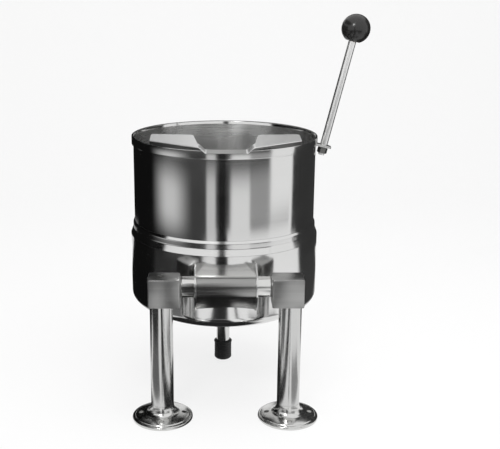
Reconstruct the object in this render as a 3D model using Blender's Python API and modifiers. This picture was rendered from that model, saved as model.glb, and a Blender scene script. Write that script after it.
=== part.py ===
"""Table-top steam jacketed kettle on two bolted legs, tilted by hand about a bored trunnion shaft.

The kettle's own axis is vertical, the table is at zero height and the pouring side faces -Y.
"""

from math import asin, atan2, cos, pi, radians, sin, sqrt

import bmesh
import bpy
from mathutils import Vector

MM = 0.001
GAP = 0.3 * MM

# Offset that puts the middle of the whole object's footprint on the origin.
AXIS_X = -41.5 * MM
AXIS_Y = 38.0 * MM

# Bowl, in which the food is cooked.
BOWL_RADIUS = 162.2 * MM
BOWL_WALL = 2.0 * MM
RIM_Z = 453.5 * MM
BOWL_DISH_Z = 215.0 * MM
BOWL_DISH_DEPTH = 76.0 * MM
ROUND_SEGMENTS = 64

# Bar ring round the rim.
RIM_BAND_RADIUS = 165.1 * MM
RIM_BAND_HEIGHT = 14.5 * MM
RIM_BAND_CHAMFER = 1.0 * MM

# Jacket round the lower half of the bowl.
JACKET_RADIUS = 169.0 * MM
JACKET_WALL = 2.0 * MM
JACKET_TOP_Z = 276.8 * MM
JACKET_DISH_Z = 168.5 * MM
JACKET_DISH_DEPTH = 48.0 * MM
TOP_RING_RADIUS = 164.8 * MM
TOP_RING_Z = 301.5 * MM
TOP_RING_BEVEL = 4.5 * MM
TOP_RING_BAND = 8.6 * MM
TOP_RING_WALL = 2.3 * MM

# Pouring lip: a low spout between two raised wings. Heights are above the rim.
# The front edges of the wings are straight in plan and nearly touch the rim's side.
LIP_SHEET = 1.5 * MM
LIP_FOOT = 2.0 * MM
LIP_RADIUS = 164.3 * MM
SPOUT_INNER_RADIUS = 160.5 * MM
SPOUT_HALF_WIDTH = 32.0 * MM
SPOUT_FRONT_Y = -177.5 * MM
SPOUT_FLOOR = 2.1 * MM
SPOUT_DROOP = 1.0 * MM
WING_START = 46.5 * MM
WING_END = 126.5 * MM
WING_REACH = 167.0 * MM
WING_TURN = radians(-51.9)
WING_RISE = 8.0 * MM
WING_SLOPE = 0.15
WING_FOLD = 3.0 * MM
FOLD_MARGIN = 0.2 * MM
WING_FRONT_STEP = 1.35 * MM
WING_BACK_START = 54.0 * MM
WING_BACK_START_Y = -102.0 * MM
WING_BACK_END = 126.0 * MM
WING_BACK_END_Y = -74.0 * MM
WING_CORNER = 8.0 * MM
WING_CORNER_LEAN = 1.0 * MM

# Trunnion shaft, whose axis is the tilting axis.
TRUNNION_Y = -194.0 * MM
TRUNNION_Z = 234.1 * MM
SHAFT_RADIUS = 17.45 * MM
JOURNAL_RADIUS = 12.7 * MM
SHAFT_BORE = 8.0 * MM
SHAFT_WEB = 12.0 * MM
SHOULDER_X = 73.0 * MM
SHAFT_END_X = 115.0 * MM
SHAFT_CHAMFER = 1.0 * MM
BEARING_SEGMENTS = 32

# Passages between the shaft and the steam space.
STEAM_X = 25.0 * MM
NIPPLE_RADIUS = 7.0 * MM
NIPPLE_WALL = 1.5 * MM
NIPPLE_START = 12.0 * MM
NIPPLE_END_Y = -163.3 * MM
CONDENSATE_X = -25.0 * MM
PICKUP_RADIUS = 4.0 * MM
PICKUP_WALL = 1.0 * MM
PICKUP_START = 10.5 * MM
PICKUP_SLOPE = radians(50)
PICKUP_OFFSET = 5.5 * MM
PICKUP_END_RADIUS = 15.0 * MM
PICKUP_HOLE_LENGTH = 52.0 * MM
PICKUP_BEND_START = 3.0 * MM
PICKUP_BEND_MIDDLE = 1.2 * MM
PICKUP_BEND_END = 5.0 * MM

# Saddle, a folded sheet round the shaft that is welded to the jacket.
SADDLE_HALF_WIDTH = 52.0 * MM
SADDLE_SHEET = 2.1 * MM
SADDLE_NOSE = 20.1 * MM
SADDLE_FOOT_Y = -169.0 * MM
SADDLE_FOOT_Z = 188.3 * MM
SADDLE_REACH = 14.0 * MM
END_PLATE = 3.0 * MM
END_PLATE_EDGE = 1.8 * MM
END_PLATE_LIFT = 9.0 * MM

# Rear rest of the kettle.
REST_Y = 57.5 * MM
POST_RADIUS = 12.7 * MM
POST_WALL = 2.0 * MM
TIP_RADIUS = 16.6 * MM
TIP_WAIST_RADIUS = 15.8 * MM
TIP_BEAD_RADIUS = 17.4 * MM
TIP_BEAD_HEIGHT = 3.2 * MM
TIP_BEAD_SLOPE = 1.0 * MM
TIP_TOP_Z = 37.5 * MM
TIP_FLOOR = 12.0 * MM
TIP_TOP_CHAMFER = 1.2 * MM
TIP_FOOT_CHAMFER = 3.0 * MM

# Tilting handle. Its own +Z runs up the rod from the top of the lug.
HANDLE_X = 177.7 * MM
HANDLE_Z = 434.9 * MM
HANDLE_LEAN = radians(13.56)
LUG_THICKNESS = 4.0 * MM
LUG_HALF_WIDTH = 8.5 * MM
LUG_OUTER_REACH = 13.6 * MM
LUG_CORNER = 4.0 * MM
LUG_INNER_REACH = 20.0 * MM
LUG_EDGE = 0.6 * MM
ROD_RADIUS = 6.75 * MM
THREAD_RADIUS = 5.55 * MM
THREAD_HOLE = 5.9 * MM
THREAD_END_Z = -18.4 * MM
THREAD_CHAMFER = 0.8 * MM
THREAD_FREE_END = 2.0 * MM
WASHER_RADIUS = 8.6 * MM
WASHER_THICKNESS = 1.2 * MM
NUT_FLATS = 15.6 * MM
NUT_HEIGHT = 9.0 * MM
NUT_CHAMFER_SLOPE = 0.7
NUT_FACE_DROP = 0.02 * MM
BALL_RADIUS = 25.2 * MM
BALL_Z = 209.3 * MM
BALL_FLAT_DROP = 22.0 * MM
BALL_HOLE = 8.6 * MM
BALL_HOLE_DEPTH = 22.0 * MM

# Trunnion housings. The distances along X are the same on both sides.
HOUSING_INNER_X = 75.0 * MM
HOUSING_OUTER_X = 127.5 * MM
HOUSING_TOP_Z = 252.0 * MM
HOUSING_BOTTOM_Z = 203.0 * MM
HOUSING_HALF_DEPTH = 21.5 * MM
HOUSING_EDGE = 2.5 * MM
BOSS_RADIUS = 17.4 * MM
BOSS_HEIGHT = 1.5 * MM
BOSS_CHAMFER = 0.5 * MM
BOSS_ROOT = 1.0 * MM
SEAL_POCKET_RADIUS = 15.7 * MM
SEAL_POCKET_X = 81.3 * MM
SEAL_START_X = 73.8 * MM
BUSH_SEAT_RADIUS = 14.9 * MM
BUSH_SEAT_X = 114.5 * MM
BUSH_RADIUS = 14.6 * MM
BUSH_BORE = 12.8 * MM
BUSH_END_X = 110.4 * MM
PACKING_END_X = 114.2 * MM
SEAL_BORE = 13.0 * MM
CHAMBER_RADIUS = 13.5 * MM
CHAMBER_X = 116.5 * MM
PORT_RADIUS = 9.1 * MM

# Lubrication plug on the left housing.
PLUG_X = 106.0 * MM
PLUG_RECESS = 6.35 * MM
PLUG_RECESS_DEPTH = 1.6 * MM
PLUG_HEAD_RADIUS = 6.0 * MM
PLUG_SHANK_RADIUS = 3.9 * MM
PLUG_SOCKET_FLATS = 5.0 * MM

# Legs and their feet.
LEG_X = 106.4 * MM
LEG_RADIUS = 19.05 * MM
LEG_WALL = 2.5 * MM
LEG_TOP_Z = 209.0 * MM
FOOT_NECK_Z = 27.0 * MM
FOOT_RADIUS = 51.0 * MM
FOOT_RIM_Z = 4.2 * MM
FOOT_DOME_RADIUS = 45.5 * MM
FOOT_DOME_Z = 7.4 * MM
FOOT_FILLET_RADIUS = 31.0 * MM
FOOT_FILLET_Z = 10.4 * MM
FOOT_FLOOR = 6.0 * MM
FOOT_CROWN_INSET = 6.0 * MM
FOOT_CROWN_RISE = 1.6 * MM
FOOT_STEP_WIDTH = 0.8 * MM
FOOT_STEP_DROP = 1.4 * MM
FOOT_EDGE_WIDTH = 1.6 * MM
FOOT_EDGE_RISE = 1.2 * MM
FOOT_CHAMFER = 1.0 * MM
BOLT_RADIUS = 4.5 * MM
BOLT_CIRCLE = 36.5 * MM
BOLT_COUNT = 4

OUTSIDE = 10.0 * MM

COLOURS = {
    "satin_stainless": ((0.62, 0.62, 0.61, 1.0), 0.32, 1.0),
    "polished_stainless": ((0.70, 0.70, 0.69, 1.0), 0.14, 1.0),
    "brushed_stainless": ((0.55, 0.55, 0.54, 1.0), 0.42, 1.0),
    "bearing_bronze": ((0.50, 0.33, 0.14, 1.0), 0.40, 1.0),
    "seal_rubber": ((0.03, 0.03, 0.03, 1.0), 0.70, 0.0),
    "tip_rubber": ((0.02, 0.02, 0.02, 1.0), 0.65, 0.0),
    "graphite_packing": ((0.08, 0.08, 0.08, 1.0), 0.60, 0.0),
    "zinc_steel": ((0.40, 0.40, 0.40, 1.0), 0.35, 1.0),
    "black_phenolic": ((0.01, 0.01, 0.01, 1.0), 0.18, 0.0),
    "brass": ((0.62, 0.45, 0.18, 1.0), 0.30, 1.0),
}


def clear_scene():
    for obj in list(bpy.data.objects):
        bpy.data.objects.remove(obj, do_unlink=True)


def new_collection(name, hidden):
    collection = bpy.data.collections.new(name)
    collection.hide_render = hidden
    bpy.context.scene.collection.children.link(collection)
    return collection


def new_empty(name, location, parent=None, rotation=(0, 0, 0)):
    empty = bpy.data.objects.new(name, None)
    empty.location = location
    empty.rotation_euler = rotation
    empty.parent = parent
    MODEL.objects.link(empty)
    return empty


def place(mesh, name, parent, location=(0, 0, 0), rotation=(0, 0, 0), colour=None):
    """Puts a mesh in the model as a named piece, or among the cutters where it has no colour."""
    obj = bpy.data.objects.new(name, mesh)
    obj.location = location
    obj.rotation_euler = rotation
    obj.parent = parent
    if colour is None:
        obj.hide_render = True
        obj.display_type = "WIRE"
        CUTTERS.objects.link(obj)
        return obj
    MODEL.objects.link(obj)
    base, roughness, metallic = COLOURS[colour]
    material = bpy.data.materials.new(name + "_" + colour)
    material.use_nodes = True
    shader = material.node_tree.nodes["Principled BSDF"]
    shader.inputs["Base Color"].default_value = base
    shader.inputs["Roughness"].default_value = roughness
    shader.inputs["Metallic"].default_value = metallic
    mesh.materials.append(material)
    return obj


def turned(name, profile, parent, closed=False, segments=ROUND_SEGMENTS, **placing):
    """Turns (radius, height) points about Z. They run down the outer side."""
    mesh = bpy.data.meshes.new(name)
    count = len(profile)
    edges = [(i, i + 1) for i in range(count - 1)]
    if closed:
        edges.append((count - 1, 0))
    mesh.from_pydata([(radius, 0, height) for radius, height in profile], edges, [])
    obj = place(mesh, name, parent, **placing)
    screw = obj.modifiers.new("turn", "SCREW")
    screw.axis = "Z"
    screw.steps = segments
    screw.render_steps = segments
    screw.use_merge_vertices = True
    screw.merge_threshold = 0.00001
    screw.use_smooth_shade = True
    return obj


def ring(inner, outer, low, high):
    """Closed section of a plain ring, for turned()."""
    return [(outer, high), (outer, low), (inner, low), (inner, high)]


def prism(name, outline, low, high, parent, **placing):
    """Extrudes a closed (x, y) outline along Z from low to high."""
    build = bmesh.new()
    corners = [build.verts.new((x, y, low)) for x, y in outline]
    face = build.faces.new(corners)
    grown = bmesh.ops.extrude_face_region(build, geom=[face])
    raised = [item for item in grown["geom"] if isinstance(item, bmesh.types.BMVert)]
    bmesh.ops.translate(build, verts=raised, vec=(0, 0, high - low))
    bmesh.ops.recalc_face_normals(build, faces=build.faces)
    mesh = bpy.data.meshes.new(name)
    build.to_mesh(mesh)
    build.free()
    return place(mesh, name, parent, **placing)


def round_bar(name, start, end, radius, parent, segments=20, **placing):
    """A solid round bar between two points."""
    start = Vector(start)
    along = Vector(end) - start
    section = [(0, along.length), (radius, along.length), (radius, 0), (0, 0)]
    turn = along.to_track_quat("Z", "Y").to_euler()
    return turned(
        name, section, parent, segments=segments, location=start, rotation=turn, **placing
    )


def boolean(obj, tool, operation="DIFFERENCE"):
    modifier = obj.modifiers.new(tool.name, "BOOLEAN")
    modifier.operation = operation
    modifier.solver = "EXACT"
    modifier.object = tool


def soften(obj, width, segments):
    """Rounds the sharp edges of a piece."""
    bevel = obj.modifiers.new("edges", "BEVEL")
    bevel.width = width
    bevel.segments = segments
    bevel.limit_method = "ANGLE"
    bevel.angle_limit = radians(40)


def dish(radius, level, depth, steps):
    """Points of a half-ellipse section, from its rim down to the axis."""
    turns = [pi / 2 * i / steps for i in range(1, steps + 1)]
    points = [(radius * cos(turn), level - depth * sin(turn)) for turn in turns]
    return points[:-1] + [(0, level - depth)]


def hexagon(flats):
    corner = flats / 2 / cos(pi / 6)
    return [(corner * cos(pi / 3 * i), corner * sin(pi / 3 * i)) for i in range(6)]


def arc(centre, radius, start, end, steps):
    """Points along a circle in the plane, with the angles in radians."""
    turns = [start + (end - start) * i / steps for i in range(steps + 1)]
    return [(centre[0] + radius * cos(t), centre[1] + radius * sin(t)) for t in turns]


def smooth_step(value, start, end):
    share = min(1.0, max(0.0, (value - start) / (end - start)))
    return share * share * (3 - 2 * share)


def make_bowl():
    inner = BOWL_RADIUS - BOWL_WALL
    inside = dish(inner, BOWL_DISH_Z, BOWL_DISH_DEPTH - BOWL_WALL, 8)[::-1]
    outside = dish(BOWL_RADIUS, BOWL_DISH_Z, BOWL_DISH_DEPTH, 8)
    profile = inside + [
        (inner, BOWL_DISH_Z),
        (inner, RIM_Z),
        (BOWL_RADIUS, RIM_Z),
        (BOWL_RADIUS, BOWL_DISH_Z),
    ]
    turned("kettle_bowl", profile + outside, KETTLE, colour="satin_stainless")


def make_rim_band():
    inner = BOWL_RADIUS + GAP
    bottom = RIM_Z - RIM_BAND_HEIGHT
    edge = RIM_BAND_CHAMFER
    profile = [
        (RIM_BAND_RADIUS - edge, RIM_Z),
        (RIM_BAND_RADIUS, RIM_Z - edge),
        (RIM_BAND_RADIUS, bottom + edge),
        (RIM_BAND_RADIUS - edge, bottom),
        (inner, bottom),
        (inner, RIM_Z),
    ]
    turned("rim_band", profile, KETTLE, closed=True, colour="polished_stainless")


def inner_arc_point(x):
    """Plan point on the bowl's inner edge, at the front."""
    return (x, -sqrt(SPOUT_INNER_RADIUS**2 - x**2))


def between(one, two, share):
    return (one[0] + (two[0] - one[0]) * share, one[1] + (two[1] - one[1]) * share)


def lip_lines():
    """Front distance and back plan point of each cross line, from the lip's middle rightwards."""
    lines = [(x, inner_arc_point(x)) for x in [0, SPOUT_HALF_WIDTH / 2, SPOUT_HALF_WIDTH]]
    for i in range(1, 8):
        x = SPOUT_HALF_WIDTH + (WING_START - SPOUT_HALF_WIDTH) * i / 7
        lines.append((x, inner_arc_point(x)))
    start = (WING_BACK_START, WING_BACK_START_Y)
    end = (WING_BACK_END, WING_BACK_END_Y)
    inner = between(start, end, WING_CORNER / (end[0] - start[0]))
    outer = between(end, start, WING_CORNER / (end[0] - start[0]))
    side_low = (start[0] - WING_CORNER_LEAN, start[1] - WING_CORNER)
    end_low = (end[0], end[1] - WING_CORNER)
    first = inner_arc_point(WING_START)
    backs = [between(first, side_low, share) for share in [0.25, 0.5, 0.75, 1.0]]
    backs += rounded(side_low, start, inner)
    backs += [between(inner, outer, share) for share in [0.25, 0.5, 0.75]]
    backs += [outer]
    backs += rounded(outer, end, end_low)
    fronts = [WING_START + WING_FRONT_STEP * i for i in range(1, 8)]
    rest = len(backs) - len(fronts)
    wide = WING_END - fronts[-1]
    fronts += [fronts[-1] + wide * (1 - (1 - i / rest) ** 2) for i in range(1, rest + 1)]
    return lines + list(zip(fronts, backs))


def rounded(start, corner, end):
    """Three points round a corner, the last one being its end."""
    points = []
    for share in [1 / 3, 2 / 3, 1.0]:
        points.append(between(between(start, corner, share), between(corner, end, share), share))
    return points


def wing_edge_y(x):
    """Depth of a wing's straight front edge."""
    return (WING_REACH - x * cos(WING_TURN)) / sin(WING_TURN)


def lip_section(front_x, back):
    """Closed section of the lip on one cross line: its foot on the rim, and the sheet above it."""
    rise = smooth_step(front_x, SPOUT_HALF_WIDTH, WING_START)
    front = Vector((front_x, max(SPOUT_FRONT_Y, wing_edge_y(front_x))))
    inward = (Vector(back) - front).normalized()
    length = (Vector(back) - front).length

    def reach(radius):
        along = -front.dot(inward)
        return along - sqrt(along**2 - front.length_squared + radius**2)

    foot = reach(LIP_RADIUS)

    def top(distance):
        spot = front + inward * distance
        floor = SPOUT_FLOOR - (SPOUT_FLOOR + SPOUT_DROOP) * max(0.0, 1 - distance / foot)
        depth = WING_REACH - spot.x * cos(WING_TURN) - spot.y * sin(WING_TURN)
        return floor * (1 - rise) + (WING_RISE + WING_SLOPE * depth) * rise

    def at(distance, height):
        spot = front + inward * distance
        return (spot.x, spot.y, RIM_Z + height)

    foot_back = reach(LIP_RADIUS - LIP_FOOT)
    fold = (foot_back + FOLD_MARGIN) * (1 - rise) + WING_FOLD * rise
    middle = (foot_back + length) / 2
    return [
        at(foot_back, GAP),
        at(foot, GAP),
        at(0, top(0) - LIP_SHEET),
        at(0, top(0)),
        at(foot, top(foot)),
        at(middle, top(middle)),
        at(length, top(length)),
        at(length, top(length) - LIP_SHEET),
        at(middle, top(middle) - LIP_SHEET),
        at(fold, top(fold) - LIP_SHEET),
    ]


def make_pouring_lip():
    right = [lip_section(front_x, back) for front_x, back in lip_lines()]
    left = [[(-x, y, z) for x, y, z in section] for section in right[:0:-1]]
    build = bmesh.new()
    rows = [[build.verts.new(point) for point in section] for section in left + right]
    count = len(rows[0])
    for one, two in zip(rows, rows[1:]):
        for i in range(count):
            j = (i + 1) % count
            build.faces.new((one[i], one[j], two[j], two[i]))
    build.faces.new(rows[0])
    build.faces.new(rows[-1])
    bmesh.ops.recalc_face_normals(build, faces=build.faces)
    mesh = bpy.data.meshes.new("pouring_lip")
    build.to_mesh(mesh)
    build.free()
    place(mesh, "pouring_lip", KETTLE, colour="satin_stainless")


def jacket_envelope():
    """Cutter the shape of the jacket's outside with the welding gap added."""
    radius = JACKET_RADIUS + GAP
    below = dish(radius, JACKET_DISH_Z, JACKET_DISH_DEPTH + GAP, 7)
    profile = [(0, TOP_RING_Z), (radius, TOP_RING_Z), (radius, JACKET_DISH_Z)] + below
    return turned("jacket_envelope", profile, KETTLE)


def make_jacket_shell():
    inner = JACKET_RADIUS - JACKET_WALL
    inside = dish(inner, JACKET_DISH_Z, JACKET_DISH_DEPTH - JACKET_WALL, 7)[::-1]
    outside = dish(JACKET_RADIUS, JACKET_DISH_Z, JACKET_DISH_DEPTH, 7)
    profile = inside + [
        (inner, JACKET_DISH_Z),
        (inner, JACKET_TOP_Z),
        (JACKET_RADIUS, JACKET_TOP_Z),
        (JACKET_RADIUS, JACKET_DISH_Z),
    ]
    shell = turned("jacket_shell", profile + outside, KETTLE, colour="polished_stainless")
    boolean(shell, steam_passage("jacket_steam_hole", NIPPLE_RADIUS + GAP))
    boolean(shell, condensate_passage("jacket_condensate_hole", PICKUP_RADIUS + GAP))


def make_top_ring():
    inner = BOWL_RADIUS + GAP
    low = JACKET_TOP_Z + GAP
    band_top = TOP_RING_Z - TOP_RING_BEVEL
    shoulder = band_top - TOP_RING_BAND
    profile = [
        (inner + GAP, TOP_RING_Z),
        (TOP_RING_RADIUS, band_top),
        (TOP_RING_RADIUS, shoulder),
        (JACKET_RADIUS, low),
        (JACKET_RADIUS - TOP_RING_WALL, low),
        (inner, shoulder - TOP_RING_WALL),
        (inner, TOP_RING_Z),
    ]
    turned("jacket_top_ring", profile, KETTLE, closed=True, colour="polished_stainless")


def steam_passage(name, radius):
    start = (STEAM_X, TRUNNION_Y, TRUNNION_Z)
    end = (STEAM_X, NIPPLE_END_Y, TRUNNION_Z)
    return round_bar(name, start, end, radius, KETTLE)


def condensate_direction():
    return Vector((0, cos(PICKUP_SLOPE), -sin(PICKUP_SLOPE)))


def condensate_passage(name, radius):
    start = Vector((CONDENSATE_X, TRUNNION_Y, TRUNNION_Z))
    end = start + condensate_direction() * PICKUP_HOLE_LENGTH
    return round_bar(name, start, end, radius, KETTLE)


def make_shaft():
    ends = [
        (0, SHAFT_WEB),
        (SHAFT_BORE, SHAFT_WEB),
        (SHAFT_BORE, SHAFT_END_X),
        (JOURNAL_RADIUS - SHAFT_CHAMFER, SHAFT_END_X),
        (JOURNAL_RADIUS, SHAFT_END_X - SHAFT_CHAMFER),
        (JOURNAL_RADIUS, SHOULDER_X),
        (SHAFT_RADIUS - SHAFT_CHAMFER, SHOULDER_X),
        (SHAFT_RADIUS, SHOULDER_X - SHAFT_CHAMFER),
    ]
    profile = ends + [(radius, -height) for radius, height in reversed(ends)]
    shaft = turned(
        "trunnion_shaft",
        profile,
        TILT_AXIS,
        segments=BEARING_SEGMENTS,
        rotation=(0, pi / 2, 0),
        colour="polished_stainless",
    )
    boolean(shaft, steam_passage("shaft_steam_hole", NIPPLE_RADIUS + GAP))
    boolean(shaft, condensate_passage("shaft_condensate_hole", PICKUP_RADIUS + GAP))


def make_steam_nipple():
    length = NIPPLE_END_Y - TRUNNION_Y - NIPPLE_START
    section = ring(NIPPLE_RADIUS - NIPPLE_WALL, NIPPLE_RADIUS, 0, length)
    turned(
        "steam_nipple",
        section,
        TILT_AXIS,
        closed=True,
        segments=24,
        location=(STEAM_X, NIPPLE_START, 0),
        rotation=(-pi / 2, 0, 0),
        colour="satin_stainless",
    )


def pickup_path():
    """Centre line of the condensate tube: out of the shaft, then down the jacket's inner wall."""
    inner = JACKET_RADIUS - JACKET_WALL
    depth = JACKET_DISH_DEPTH - JACKET_WALL
    axis = Vector((CONDENSATE_X, TRUNNION_Y, TRUNNION_Z))
    wall_y = -sqrt((inner - PICKUP_OFFSET) ** 2 - CONDENSATE_X**2)
    bend = axis + condensate_direction() * (wall_y - TRUNNION_Y) / cos(PICKUP_SLOPE)
    inward = -Vector((bend.x, bend.y, 0)).normalized()
    path = [
        axis + condensate_direction() * PICKUP_START,
        bend - condensate_direction() * PICKUP_BEND_START,
        bend + Vector((0, 0, -PICKUP_BEND_MIDDLE)),
        bend + Vector((0, 0, -PICKUP_BEND_END)),
    ]
    steps = 10
    for i in range(1, steps + 1):
        turn = pi / 2 * i / steps
        radius = inner * cos(turn)
        height = JACKET_DISH_Z - depth * sin(turn)
        slope = Vector((depth * cos(turn), inner * sin(turn))).normalized()
        radius = max(radius - slope.x * PICKUP_OFFSET, PICKUP_END_RADIUS)
        height += slope.y * PICKUP_OFFSET
        path.append(Vector((0, 0, height)) - inward * radius)
    return path


def make_condensate_tube():
    curve = bpy.data.curves.new("condensate_path", "CURVE")
    curve.dimensions = "3D"
    curve.bevel_depth = PICKUP_RADIUS
    curve.bevel_resolution = 2
    path = pickup_path()
    spline = curve.splines.new("POLY")
    spline.points.add(len(path) - 1)
    for point, spot in zip(spline.points, path):
        point.co = (*spot, 1)
    holder = bpy.data.objects.new("condensate_path", curve)
    mesh = bpy.data.meshes.new_from_object(holder)
    bpy.data.objects.remove(holder)
    mesh.materials.clear()
    for polygon in mesh.polygons:
        polygon.use_smooth = True
    tube = place(mesh, "condensate_tube", KETTLE, colour="satin_stainless")
    wall = tube.modifiers.new("wall", "SOLIDIFY")
    wall.thickness = PICKUP_WALL
    wall.offset = -1


def saddle_outline(nose, reach, lift=0):
    """Open outline of the saddle in (y, z), from its upper back edge round the nose to its lower one."""
    to_foot = Vector((SADDLE_FOOT_Y - TRUNNION_Y, SADDLE_FOOT_Z - TRUNNION_Z))
    tangent = atan2(to_foot.y, to_foot.x) - (pi / 2 - asin(SADDLE_NOSE / to_foot.length))
    centre = (TRUNNION_Y, TRUNNION_Z)
    points = arc(centre, nose, pi / 2, tangent + 2 * pi, 12)
    along = Vector((-sin(tangent), cos(tangent)))
    foot = Vector(points[-1]) + along * (sqrt(to_foot.length_squared - SADDLE_NOSE**2) + reach)
    top_back = (SADDLE_FOOT_Y + reach, TRUNNION_Z + nose + lift)
    return [top_back] + points + [tuple(foot)]


def make_saddle(envelope):
    outer = saddle_outline(SADDLE_NOSE, SADDLE_REACH)
    inner = saddle_outline(SADDLE_NOSE - SADDLE_SHEET, SADDLE_REACH)
    half = SADDLE_HALF_WIDTH - END_PLATE - GAP
    saddle = prism(
        "trunnion_saddle",
        outer + inner[::-1],
        -half,
        half,
        KETTLE,
        rotation=(pi / 2, 0, pi / 2),
        colour="polished_stainless",
    )
    boolean(saddle, envelope)


def make_saddle_end(side_name, side, envelope):
    outline = saddle_outline(SADDLE_NOSE + END_PLATE_EDGE, SADDLE_REACH, END_PLATE_LIFT)
    middle = side * (SADDLE_HALF_WIDTH - END_PLATE / 2)
    plate = prism(
        "saddle_end_" + side_name,
        outline,
        middle - END_PLATE / 2,
        middle + END_PLATE / 2,
        KETTLE,
        rotation=(pi / 2, 0, pi / 2),
        colour="polished_stainless",
    )
    boolean(plate, envelope)
    start = (middle - OUTSIDE, TRUNNION_Y, TRUNNION_Z)
    end = (middle + OUTSIDE, TRUNNION_Y, TRUNNION_Z)
    hole = round_bar(
        "saddle_hole_" + side_name, start, end, SHAFT_RADIUS + GAP, KETTLE, BEARING_SEGMENTS
    )
    boolean(plate, hole)


def make_rest(envelope):
    low = TIP_FLOOR + GAP
    high = JACKET_DISH_Z - JACKET_DISH_DEPTH + OUTSIDE
    section = ring(POST_RADIUS - POST_WALL, POST_RADIUS, low, high)
    post = turned(
        "rest_post",
        section,
        KETTLE,
        closed=True,
        segments=24,
        location=(0, REST_Y, 0),
        colour="polished_stainless",
    )
    boolean(post, envelope)
    profile = [
        (0, TIP_FLOOR),
        (POST_RADIUS + GAP, TIP_FLOOR),
        (POST_RADIUS + GAP, TIP_TOP_Z),
        (TIP_BEAD_RADIUS - TIP_TOP_CHAMFER, TIP_TOP_Z),
        (TIP_BEAD_RADIUS, TIP_TOP_Z - TIP_TOP_CHAMFER),
        (TIP_BEAD_RADIUS, TIP_TOP_Z - TIP_BEAD_HEIGHT),
        (TIP_WAIST_RADIUS, TIP_TOP_Z - TIP_BEAD_HEIGHT - TIP_BEAD_SLOPE),
        (TIP_RADIUS, TIP_FOOT_CHAMFER),
        (TIP_RADIUS - 0.3 * TIP_FOOT_CHAMFER, 0.3 * TIP_FOOT_CHAMFER),
        (TIP_RADIUS - TIP_FOOT_CHAMFER, 0),
        (0, 0),
    ]
    turned(
        "rest_tip", profile, KETTLE, segments=24, location=(0, REST_Y, 0), colour="tip_rubber"
    )


def make_handle_lug():
    across = LUG_OUTER_REACH - LUG_CORNER
    side = LUG_HALF_WIDTH - LUG_CORNER
    outline = arc((across, -side), LUG_CORNER, -pi / 2, 0, 4)
    outline += arc((across, side), LUG_CORNER, 0, pi / 2, 4)
    outline += [(-LUG_INNER_REACH, LUG_HALF_WIDTH), (-LUG_INNER_REACH, -LUG_HALF_WIDTH)]
    lug = prism("handle_lug", outline, -LUG_THICKNESS, 0, HANDLE, colour="brushed_stainless")
    soften(lug, LUG_EDGE, 2)
    low = RIM_Z - 2 * RIM_BAND_HEIGHT
    high = RIM_Z + OUTSIDE
    radius = RIM_BAND_RADIUS + GAP
    band = [(0, high), (radius, high), (radius, low), (0, low)]
    boolean(lug, turned("rim_envelope", band, KETTLE))
    hole = round_bar("lug_hole", (0, 0, -OUTSIDE), (0, 0, OUTSIDE), THREAD_HOLE, HANDLE)
    boolean(lug, hole)


def make_handle_rod():
    shoulder = BALL_Z - BALL_FLAT_DROP - GAP
    top = shoulder + BALL_HOLE_DEPTH - THREAD_FREE_END
    profile = [
        (0, top),
        (THREAD_RADIUS - THREAD_CHAMFER, top),
        (THREAD_RADIUS, top - THREAD_CHAMFER),
        (THREAD_RADIUS, shoulder),
        (ROD_RADIUS, shoulder),
        (ROD_RADIUS, GAP),
        (THREAD_RADIUS, GAP),
        (THREAD_RADIUS, THREAD_END_Z + THREAD_CHAMFER),
        (THREAD_RADIUS - THREAD_CHAMFER, THREAD_END_Z),
        (0, THREAD_END_Z),
    ]
    turned("handle_rod", profile, HANDLE, segments=20, colour="brushed_stainless")


def make_handle_fixings():
    washer_top = -LUG_THICKNESS - GAP
    washer_low = washer_top - WASHER_THICKNESS
    section = ring(THREAD_HOLE, WASHER_RADIUS, washer_low, washer_top)
    turned("handle_washer", section, HANDLE, closed=True, segments=20, colour="zinc_steel")
    nut_top = washer_low - GAP
    nut = prism(
        "handle_nut", hexagon(NUT_FLATS), nut_top - NUT_HEIGHT, nut_top, HANDLE, colour="zinc_steel"
    )
    corner = NUT_FLATS / 2 / cos(pi / 6)
    bottom = nut_top - NUT_HEIGHT
    cone = [
        (0, nut_top + OUTSIDE),
        (corner + OUTSIDE, nut_top + OUTSIDE),
        (corner + OUTSIDE, bottom + (OUTSIDE + corner - NUT_FLATS / 2) * NUT_CHAMFER_SLOPE),
        (NUT_FLATS / 2, bottom - NUT_FACE_DROP),
        (0, bottom - NUT_FACE_DROP),
    ]
    boolean(nut, turned("nut_chamfer", cone, HANDLE, segments=24), "INTERSECT")
    boolean(nut, round_bar("nut_hole", (0, 0, bottom - OUTSIDE), (0, 0, 0), THREAD_HOLE, HANDLE))


def make_ball():
    steps = 13
    flat_turn = asin(BALL_FLAT_DROP / BALL_RADIUS)
    profile = [(0, BALL_Z + BALL_RADIUS)]
    for i in range(1, steps + 1):
        turn = pi / 2 - (pi / 2 + flat_turn) * i / steps
        profile.append((BALL_RADIUS * cos(turn), BALL_Z + BALL_RADIUS * sin(turn)))
    bottom = BALL_Z - BALL_FLAT_DROP
    hole_top = bottom + BALL_HOLE_DEPTH
    profile += [(BALL_HOLE, bottom), (BALL_HOLE, hole_top), (0, hole_top)]
    turned("ball_knob", profile, HANDLE, segments=28, colour="black_phenolic")
    section = ring(THREAD_HOLE, BALL_HOLE - GAP, bottom + GAP, hole_top - GAP)
    turned("knob_insert", section, HANDLE, closed=True, segments=20, colour="brass")


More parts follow.
